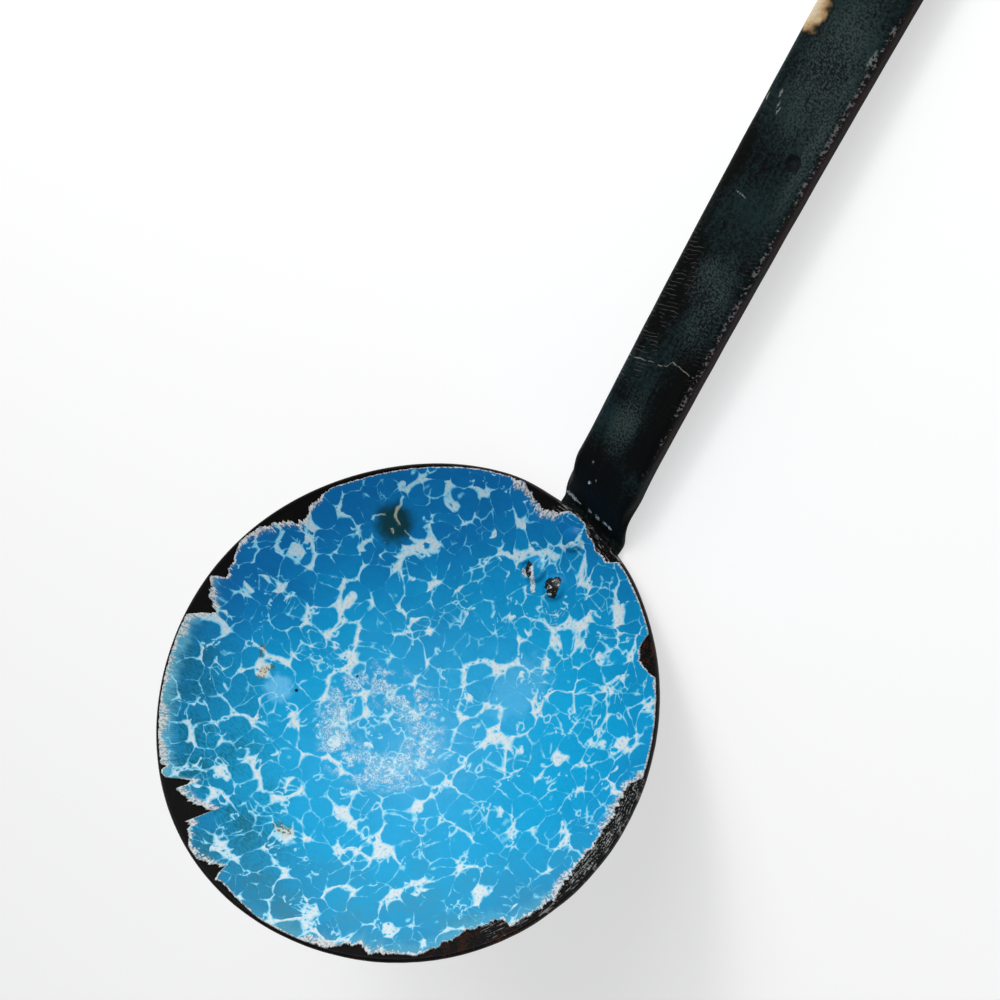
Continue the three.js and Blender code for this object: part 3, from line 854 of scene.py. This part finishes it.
# Strokes: where each starts and ends on the dish laid flat, and half its width.
STAIN_VEINS = (
    ((0.0416, 0.0497), (0.0360, 0.0482), 0.0005), ((0.0360, 0.0482), (0.0346, 0.0452), 0.0003),
    ((0.0346, 0.0452), (0.0346, 0.0402), 0.0001), ((0.0346, 0.0402), (0.0348, 0.0329), 0.0006),
)
RUST_STROKES = (
    ((-0.0195, 0.0465), (-0.0218, 0.0448), 0.0003), ((-0.0239, 0.0411), (-0.0217, 0.0403), 0.0005),
    ((-0.0239, 0.0411), (-0.0259, 0.0402), 0.0005), ((-0.0500, 0.0017), (-0.0491, -0.0013), 0.0010),
)
RUSTY_BLUE = (0.03, 0.16, 0.17)
RUSTY_WHITE = (0.50, 0.43, 0.30)
RUSTY_BROWN = (0.07, 0.05, 0.018)
WHITE_TAIL = ((0.0536, 0.0060), (0.0487, 0.0016), 0.0006)
TAIL_GREY = (0.30, 0.34, 0.36)
# Pale patches, the first a scuff and the second a painted haze of the lamp's highlight: middle, half sizes
# and how pale.
SCUFF_AND_HAZE = ((-0.0242, 0.0343, 0.0046, 0.0046, 0.55), (0.0260, -0.0150, 0.0130, 0.0090, 0.22))
SCUFF_AND_HAZE_BLUE = (0.18, 0.53, 0.80)
# A painted highlight: pale haze and fine white glints in a ring where the small lamp's reflection falls. The
# glints are bumped as well.
GLARE_PLACE = (-0.0105, 0.0058)
GLARE_HALF_SIZE = (0.0165, 0.0185)
GLINT_CELL = 0.00085
GLINT_CRUMB = 0.0011
GLARE_HAZE = (0.45, 0.68, 0.80)
GLINT_WHITE = (0.62, 0.76, 0.83)
# Pinholes: place and radius.
PINHOLES = ((-0.0207, 0.0306, 0.0006), (-0.0050, 0.0222, 0.0004))
PINHOLE_BLACK = (0.004, 0.004, 0.004)
# Fine arcs left by a knock: where they are, the half sizes of that patch, their centre and their step.
KNOCK_PLACE = (0.0468, -0.0096)
KNOCK_HALF_SIZE = (0.0042, 0.0026)
KNOCK_CENTRE = (0.0495, -0.0062)
KNOCK_STEP = 0.0009


def jagged(angle, count, seed):
    """A broken line round the bowl: seeded heights between -1 and 1 at evenly spaced angles, joined by
    straight runs."""
    knots = np.linspace(-np.pi, np.pi, count, endpoint=False)
    return np.interp(angle, knots, np.random.default_rng(seed).uniform(-1, 1, count), period=2 * np.pi)


def fray_width(angle):
    """How wide the broken edge is frayed: a thin line all round, wider and patchy in the frayed arcs."""
    width = np.full_like(angle, PLAIN_FRAY)
    patchy = 0.35 + 1.1 * ease(jagged(angle, 80, 22), -0.6, 0.6)
    for start, end, widest in FRAYED:
        width = np.maximum(width, widest * patchy * arc_zone(angle, start, end, 3))
    return width


def chip_depth(angle):
    """How far the lining is broken back from the rim: the deepest of the chips, each falling off from its
    deepest place by a power of the way to its end, with small and large teeth along the break."""
    depth = 0 * angle
    for start, deepest, end, reach, fullness in CHIPS:
        away = (np.degrees(angle) - deepest + 180) % 360 - 180
        share = np.where(away < 0, away / (start - deepest), away / (end - deepest))
        depth = np.maximum(depth, reach * (1 - np.clip(share, 0, 1) ** fullness))
    teeth = sum(height * jagged(angle, count, seed) for height, count, seed in TEETH)
    bite = PLAIN_BITE + CHIP_BITE * ease(depth, 0.0008, 0.0025) + 0.2 * (fray_width(angle) - PLAIN_FRAY)
    return np.maximum(depth + teeth * bite, 0)


def rivet_cover(place, lining_height):
    """The lining's height near the rivets. A dome covers each head. On the pair the cover is broken off:
    on the right in a heart, a union of four rounds, on the left in a crescent, a round less the head's
    middle."""
    height = lining_height
    broken_gap = np.full(height.shape, 0.01)
    for node, (arc, angle) in rivet_seats.items():
        from_rivet = place - arc * np.array([np.cos(angle), np.sin(angle)])
        away = np.linalg.norm(from_rivet, axis=-1)
        inside = np.clip(away / (RIVET_HEAD_RADIUS + COVER_MARGIN), 0, 1)
        crown = UPRIGHT_SHARE + (1 - UPRIGHT_SHARE) * np.sqrt(1 - inside**2)
        dome = SEAT_GAP + RIVET_HEAD_HEIGHT * crown + COVER_OVER_HEAD
        rise = (dome - lining_height) * (1 - ease(away, DOME_STARTS, DOME_ENDS))
        height = np.maximum(height, lining_height + rise)
        right = from_rivet @ CHART_RIGHT
        up = from_rivet @ CHART_UP
        if node == "rivet_right":
            for out, high, radius in HEART_ROUNDS:
                broken_gap = np.minimum(broken_gap, np.hypot(right - out, up - high) - radius)
        if node == "rivet_left":
            out, high, radius = CRESCENT_ROUND
            crescent = np.maximum(np.hypot(right - out, up - high) - radius, CRESCENT_KEPT - away)
            broken_gap = np.minimum(broken_gap, crescent)
    return np.where(broken_gap < 0, LINING_BED + BROKEN_CRUST, height)


def lining_skin():
    """Rings from the middle out, close together near the rim, whose outer ones follow the chipped edge;
    then the broken edge down to the shell, and a bed of few rings back to the middle."""
    angle = np.linspace(-np.pi, np.pi, LINING_COLUMNS + 1)[None, :]
    plain = rim_arc - LINING_SETBACK
    border = plain - chip_depth(angle)
    inner = np.linspace(0, WIDE_RINGS_TO, 20)
    outer = np.linspace(WIDE_RINGS_TO, plain, 50)[1:]
    ring = np.concatenate([inner, outer])[:, None]
    arc = ring - (plain - border) * ease(ring, RINGS_BEND_FROM, plain)
    edge_gap = border - arc
    chart = bowl_chart(arc, angle)
    level = LINING_TOP + ripples(chart, *LINING_RIPPLES)
    height = rivet_cover(chart, level) - BROKEN_DROP * (1 - ease(edge_gap, 0, BROKEN_ROUNDING))
    bed_arc = border * np.linspace(1, 0, 5)[:, None]
    whole_arc = np.vstack([arc, bed_arc])
    whole_height = np.vstack([height, LINING_BED + 0 * bed_arc])
    whole_chart = bowl_chart(whole_arc, angle)
    grid = bowl_place(whole_arc, angle + 0 * whole_arc, whole_height)
    blots = [(*blot, BLOT_RADIUS, BLOT_RADIUS) for blot in BLOTS]
    marks = {
        "edge_gap": np.vstack([edge_gap, 0 * bed_arc]),
        "fray": fray_width(angle) + 0 * whole_arc,
        "blotted": ovals(whole_chart, blots),
    }
    return skin("lining_enamel", grid, "bowl_chart", whole_chart, marks, 40)


def cells(place, size):
    """A cell pattern about seeds some size apart. Gives the way to the cell's nearest side, the way to
    its seed, the seed's place, and three numbers that are drawn for each cell."""
    sockets = {"Vector": place, "Scale": 1 / size}
    flat = {"voronoi_dimensions": "2D"}
    side = place.node("TexVoronoi", {**flat, "feature": "DISTANCE_TO_EDGE"}, sockets) * size
    away = place.node("TexVoronoi", flat, sockets)
    colour, seed = (Wire(place.tree, away.socket.node.outputs[name]) for name in ("Color", "Position"))
    return side, away * size, seed, [colour.part(axis) for axis in range(3)]


def round_cells(place, size):
    """The cell pattern with its corners cut round by a circle about each seed: the way to the nearest
    side or circle, the way to the seed, the seed's place and the draws."""
    side, away, seed, draws = cells(place, size)
    return side.lesser((LEAST_ROUND + DRAWN_ROUND * draws[0]) * size - away, size / 5), away, seed, draws


def way_to_vein(place):
    """How far a place lies from the middle of the nearest vein, and a number drawn for its cell. Veins
    run along the sides of rounded cells. In some cells one to three spokes run out from the seed as
    well, thinner where there is one."""
    rounded, away, seed, draws = round_cells(place, CELL)
    spokes = place.math("FLOOR", draws[1] * 3.8 - 0.9, 0)
    off_seed = place.vector("SUBTRACT", seed)
    turn = place.math("ARCTAN2", off_seed.part(1), off_seed.part(0)) + 2 * np.pi * draws[2]
    turn = place.math("PINGPONG", turn, place.math("DIVIDE", np.pi, spokes.larger(1))).lesser(np.pi / 2)
    to_spoke = place.math("SINE", turn, 0) * away + spokes.between(2, 1) * LONE_THINNING
    to_spoke = to_spoke + spokes.between(1, 0) * CELL
    return rounded.lesser(to_spoke, SPOKE_ROUNDING), draws[0]


def beyond_stroke(place, first, second, half_width):
    """How far a place lies outside a straight stroke with round ends: its way from the nearest point of
    the stroke's middle line, less the half width."""
    line = np.subtract(second, first)
    from_first = place.vector("SUBTRACT", (*first, 0))
    share = from_first.toward(*line / (line @ line)).larger(0).lesser(1)
    nearest = place.node("CombineXYZ", {}, {0: share * line[0], 1: share * line[1]})
    return from_first.vector("DISTANCE", nearest, 1) - half_width


def blue_white_enamel():
    """Blue cells in white. The white's half width wanders, so that veins swell and break off, and it is
    less towards the picture's top and bottom. Blots have a gap of their own, some patches are crowded
    with smaller cells, and small rings and bubbles sit on the veins. Painted shade, partly the enamel's own
    deeper tone, darkens the blue and greys the white towards the rim, the picture's top and away from the
    least shaded place. Returns what the marks of use need."""
    material, place, feed = finish("blue_white_enamel", "bowl_chart", {"Specular IOR Level": 0.10})
    blotted = place.mark("blotted")
    drifting = place.drifted(0.014, 0.006).drifted(0.003, 0.0014).drifted(0.001, 0.0002)
    ragged = place.noise(0.0008, 3).swing(0.0003)
    clear = place.spot(STAIN_PLACE, STAIN_HALF_SIZE).between(1.2, 0.7)
    picture_height = place.toward(0.62, 0.78)
    upper = picture_height.between(-0.012, 0.068)
    lower = picture_height.between(-0.020, -0.066)
    half_width = VEIN_HALF_WIDTH - 0.00017 * upper - 0.00012 * lower
    half_width = half_width + place.noise(VEIN_WANDER_SIZE, 2).swing(VEIN_WANDER)
    half_width = half_width + 0.00022 * blotted - 0.0006 * clear + ragged
    gap, draw = way_to_vein(drifting)
    blot_gap = 0.0013 - 0.0022 * blotted + place.noise(0.0030, 0).swing(0.0030)
    blue_depth = (gap - half_width).lesser(blot_gap, SPOKE_ROUNDING)
    crowded = place.noise(CROWD_SIZE, 1).between(0.56, 0.61)
    crowd_gap = round_cells(drifting, CROWDED_CELL)[0] - CROWDED_HALF_WIDTH - half_width * 0.5
    blue_depth = blue_depth.lesser(crowd_gap + (1 - crowded) * CELL, SPOKE_ROUNDING / 2)
    for stroke in STAIN_VEINS:
        blue_depth = blue_depth.lesser(beyond_stroke(place.drifted(0.003, 0.0018), *stroke) - ragged)

    away, seed, draws = cells(drifting, RINGED_CELL)[1:]
    ringed = way_to_vein(seed)[0].between(0.0006, 0.0004) * draws[0].between(0.56, 0.57)
    ringed = ringed * half_width.between(-0.0002, 0)
    inside = LEAST_RING + DRAWN_RING * draws[1] - away
    blue_depth = blue_depth.lesser(inside.magnitude() - RING_HALF_WIDTH + (1 - ringed) * CELL)
    blue_depth = blue_depth.larger(inside - RING_HALF_WIDTH - (1 - ringed) * CELL)

    away, draws = cells(drifting, BUBBLE_CELL)[1::2]
    blue_depth = blue_depth.larger(BUBBLE_RADIUS * (draws[0] - 0.58) - away)

    veins = blue_depth.between(0.00027, -0.0002)
    body = blue_depth.between(0.0002, -0.0008)
    tone = draw - 0.5 + place.noise(0.02, 2).swing(1.5)
    # Painted shade, partly the enamel's own deeper tone: the blue darkens and the white greys away from the
    # least shaded place, towards the rim and towards the picture's top.
    near_rim = place.spot((0, 0), (1, 1)).between(0.040, 0.074)
    tone_and_painted_shade = place.spot(LEAST_SHADED_PLACE, (1, 1)).between(0.050, 0.115) * 0.25
    tone_and_painted_shade = tone_and_painted_shade + upper * 0.70 + near_rim * (0.34 - 0.30 * upper)
    blue = (tone_and_painted_shade + tone * 0.14).between(-0.1, 1.1).mix(SKY_BLUE, DEEP_SHADED_BLUE)
    white = tone_and_painted_shade.between(0.3, 1.0).mix(VEIN_WHITE, VEIN_SHADED)
    colour = veins.mix(blue, body.mix(VEIN_THIN, white))
    return material, place, feed, colour, veins


def weathered(material, place, feed, colour, veins):
    """A painted highlight, a ring of haze and glints, and marks of use over the pattern: dirt and a film
    towards two sides, soiled veins, a scuff beside a painted haze of highlight, a stain, strokes of rust,
    pinholes, a white tail and the arcs of a knock; then a milky border and the frayed white of the broken
    edge."""
    edge_gap = place.mark("edge_gap")
    fray = place.mark("fray")
    fine = place.noise(0.0007, 4)
    coarse = place.noise(0.003, 3)
    cloud = place.noise(0.012, 3)
    # Painted highlight: a ring of haze, and glints along a cell network and in specks, which also feed the
    # bump.
    ring = place.spot(GLARE_PLACE, GLARE_HALF_SIZE) + cloud.swing(0.5)
    glare_patch = ring.between(1.15, 0.85) * ring.between(0.35, 0.7)
    glare_patch = glare_patch * (coarse * 0.5 + cloud * 0.5).between(0.42, 0.54)
    bubbles = cells(place.drifted(0.002, 0.0008), GLINT_CELL)[0].between(0.00014, 0.00004)
    crumbs = place.noise(GLINT_CRUMB, 2).between(0.55, 0.63)
    glint_bumps = (bubbles * coarse.between(0.46, 0.56)).larger(crumbs) * glare_patch
    colour = (glare_patch * 0.26).mix(colour, GLARE_HAZE)
    colour = (glint_bumps * (0.2 + fine)).mix(colour, GLINT_WHITE)

    dirty = place.toward(-0.93, 0.36).between(0.034, 0.060)
    brushed = place.vector("MULTIPLY", (1, 0.45, 1)).noise(0.0006, 3) * 0.6 + cloud * 0.5
    brushed = brushed.between(0.46, 0.72)
    colour = (0.12 * brushed + dirty * (0.26 + 0.45 * brushed)).mix(colour, veins.mix(DIRT, colour))
    filmed = place.toward(-0.70, -0.71).between(0.028, 0.070)
    colour = (filmed * (0.25 + 0.4 * brushed)).mix(colour, veins.mix(FILM, colour))
    colour = (veins * fine.between(0.54, 0.68) * 0.35).mix(colour, VEIN_SOILED)
    # The first patch is a scuff; the second is a painted haze of the lamp's highlight.
    for along, across, half_length, half_width, strength in SCUFF_AND_HAZE:
        scuffed = place.spot((along, across), (half_length, half_width)) + coarse.swing(0.8)
        scuffed = scuffed.between(1.1, 0.5) * strength * (0.6 + 0.8 * fine)
        colour = scuffed.mix(colour, veins.mix(SCUFF_AND_HAZE_BLUE, colour))
    stain = (place.spot(STAIN_PLACE, STAIN_HALF_SIZE) + coarse.swing(0.5)).between(1.1, 0.45)
    colour = (stain * 0.95).mix(colour, veins.mix(STAIN_OLIVE, STAIN_TAN))
    for stroke in RUST_STROKES:
        rusty = beyond_stroke(place.drifted(0.0015, 0.0012), *stroke)
        colour = (rusty.between(0.0012, 0) * 0.5).mix(colour, veins.mix(RUSTY_BLUE, RUSTY_WHITE))
        colour = (rusty.between(0.0006, 0) * fine.between(0.52, 0.60) * 0.85).mix(colour, RUSTY_BROWN)
    for along, across, radius in PINHOLES:
        pinhole = place.spot((along, across), (radius, radius)).between(1.0, 0.7)
        colour = pinhole.mix(colour, PINHOLE_BLACK)
    tail = beyond_stroke(place.drifted(0.001, 0.0008), *WHITE_TAIL).between(0.0003, -0.0001)
    colour = tail.mix(colour, fine.between(0.5, 0.62).mix(VEIN_WHITE, TAIL_GREY))
    arcs = place.math("PINGPONG", place.spot(KNOCK_CENTRE, (KNOCK_STEP, KNOCK_STEP)), 0.5).between(0.2, 0.05)
    knocked = arcs * place.spot(KNOCK_PLACE, KNOCK_HALF_SIZE).between(1.1, 0.8) * coarse.between(0.4, 0.5)
    colour = (knocked * 0.32).mix(colour, VEIN_WHITE)

    outward = place.vector("NORMALIZE", (0, 0, 0))
    hairs = outward.noise(0.006, 3) * 0.6 + outward.noise(0.022, 3) * 0.4
    far_side = place.toward(-0.71, 0.71).between(0.058, 0.066)
    far_side = far_side.larger(place.toward(-0.62, -0.79).between(0.052, 0.066) * 0.45)
    milky = far_side * (edge_gap + hairs.swing(0.006) + coarse.swing(0.004)).between(0.0055, 0.0010)
    colour = (milky * (0.35 + 0.8 * fine)).mix(colour, veins.mix(MILKY, colour))

    into = edge_gap / fray + hairs.swing(2.8) + coarse.swing(1.8) + fine.swing(1.6)
    frayed = into.between(1.0, 0.35) * edge_gap.between(0.0035, 0.0015)
    broken = (fine * 0.6 + hairs * 0.5).between(0.47, 0.66).mix(BROKEN_WHITE, BROKEN_TAN)
    colour = (frayed * (0.92 - 0.35 * fine.between(0.5, 0.6))).mix(colour, broken)
    peel = place.noise(0.005, 2)
    feed({
        "Base Color": colour,
        "Roughness": 0.25 + 0.35 * frayed + 0.1 * dirty + 0.1 * coarse,
        "Normal": (peel * 0.5 + fine * 0.1 + glint_bumps * 0.4 + frayed * fine * 0.5).bump(0.0002),
    })
    return material


lining = lining_skin()
lining.data.materials.append(weathered(*blue_white_enamel()))
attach(lining, "root")
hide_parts("bowl_lining")

# Floor and light
# A plain white floor in a studio with a pale low wall all round and a dim ceiling. One large soft lamp
# stands on the side of the handle's end, and a small one beside it gives the enamel its bright spot.
FLOOR_HALF_SIZE = 4.0
FLOOR_WHITE = (0.82, 0.82, 0.82, 1)
FLOOR_SEEN = (0.50, 0.50, 0.50, 1)
FLOOR_GLOW = 0.58
WALL_WHITE = (1.0, 1.0, 1.0)
CEILING_GREY = (0.16, 0.165, 0.17)
KEY_DIRECTION = (0.73, 0.44, 0.585)
KEY_DISTANCE = 1.3
KEY_SIZE = 1.2
KEY_POWER = 12.5
SPARK_DIRECTION = (0.755, 0.487, 0.559)
SPARK_DISTANCE = 1.04
SPARK_SIZE = 0.26
SPARK_POWER = 3.6

floor_mesh = bpy.data.meshes.new("floor")
floor_corners = FLOOR_HALF_SIZE * np.array([(-1, -1, 0), (1, -1, 0), (1, 1, 0), (-1, 1, 0)])
floor_mesh.from_pydata(floor_corners.tolist(), [], [(0, 1, 2, 3)])
floor = placed("floor", floor_mesh)


def floor_paint():
    """White paint for light that bounces. For rays that see the floor, part of its white is its own, so
    that shadows stay pale."""
    material = bpy.data.materials.new("floor_paint")
    material.use_nodes = True
    tree = material.node_tree
    tree.nodes.clear()
    start = Wire(tree)
    seen = start.node("LightPath", {}, {}, "Is Camera Ray")
    for kind in ("Is Glossy Ray", "Is Transmission Ray"):
        seen = seen.larger(start.node("LightPath", {}, {}, kind))
    paint = start.node("BsdfDiffuse", {}, {"Color": FLOOR_WHITE})
    half = start.node("BsdfDiffuse", {}, {"Color": FLOOR_SEEN})
    glow = start.node("Emission", {}, {"Color": (1, 1, 1, 1), "Strength": FLOOR_GLOW})
    white = start.node("AddShader", {}, {0: half, 1: glow})
    shown = start.node("MixShader", {}, {0: seen, 1: paint, 2: white})
    output = tree.nodes.new("ShaderNodeOutputMaterial")
    tree.links.new(shown.socket, output.inputs["Surface"])
    return material


floor_mesh.materials.append(floor_paint())

world = bpy.data.worlds.new("studio")
world.use_nodes = True
bpy.context.scene.world = world
height = Wire(world.node_tree).node("TexCoord", {}, {}, "Generated").part(2)
studio = height.between(0.12, 0.45).mix(WALL_WHITE, CEILING_GREY)
world.node_tree.links.new(studio.socket, world.node_tree.nodes["Background"].inputs["Color"])


def lamp(name, direction, distance, size, power):
    """A square soft lamp that faces the bowl from a direction."""
    data = bpy.data.lights.new(name, "AREA")
    data.size = size
    data.energy = power
    made = placed(name, data)
    away = Vector(direction).normalized()
    made.location = Vector(rim_centre) + away * distance
    made.rotation_euler = away.to_track_quat("Z", "Y").to_euler()


lamp("key_lamp", KEY_DIRECTION, KEY_DISTANCE, KEY_SIZE, KEY_POWER)
lamp("spark_lamp", SPARK_DIRECTION, SPARK_DISTANCE, SPARK_SIZE, SPARK_POWER)

# Camera
# It looks down on the bowl from the side of the handle's end, turned so that the handle leaves the
# picture at the top.
EYE = (0.16159, -0.17186, 0.36527)
LOOKS_AT = (-0.11055, 0.02993, 0.0)
PICTURE_UP = (0.74683, 0.63185, -0.20737)
SENSOR = 36.0
LENS = 61.87

camera_data = bpy.data.cameras.new("camera")
camera_data.sensor_width = SENSOR
camera_data.lens = LENS
camera = placed("camera", camera_data)
back = (Vector(EYE) - Vector(LOOKS_AT)).normalized()
right = Vector(PICTURE_UP).cross(back).normalized()
turned = Matrix((right, back.cross(right), back)).transposed()
camera.matrix_world = Matrix.Translation(EYE) @ turned.to_4x4()
bpy.context.scene.camera = camera
bpy.context.scene.view_settings.view_transform = "Standard"
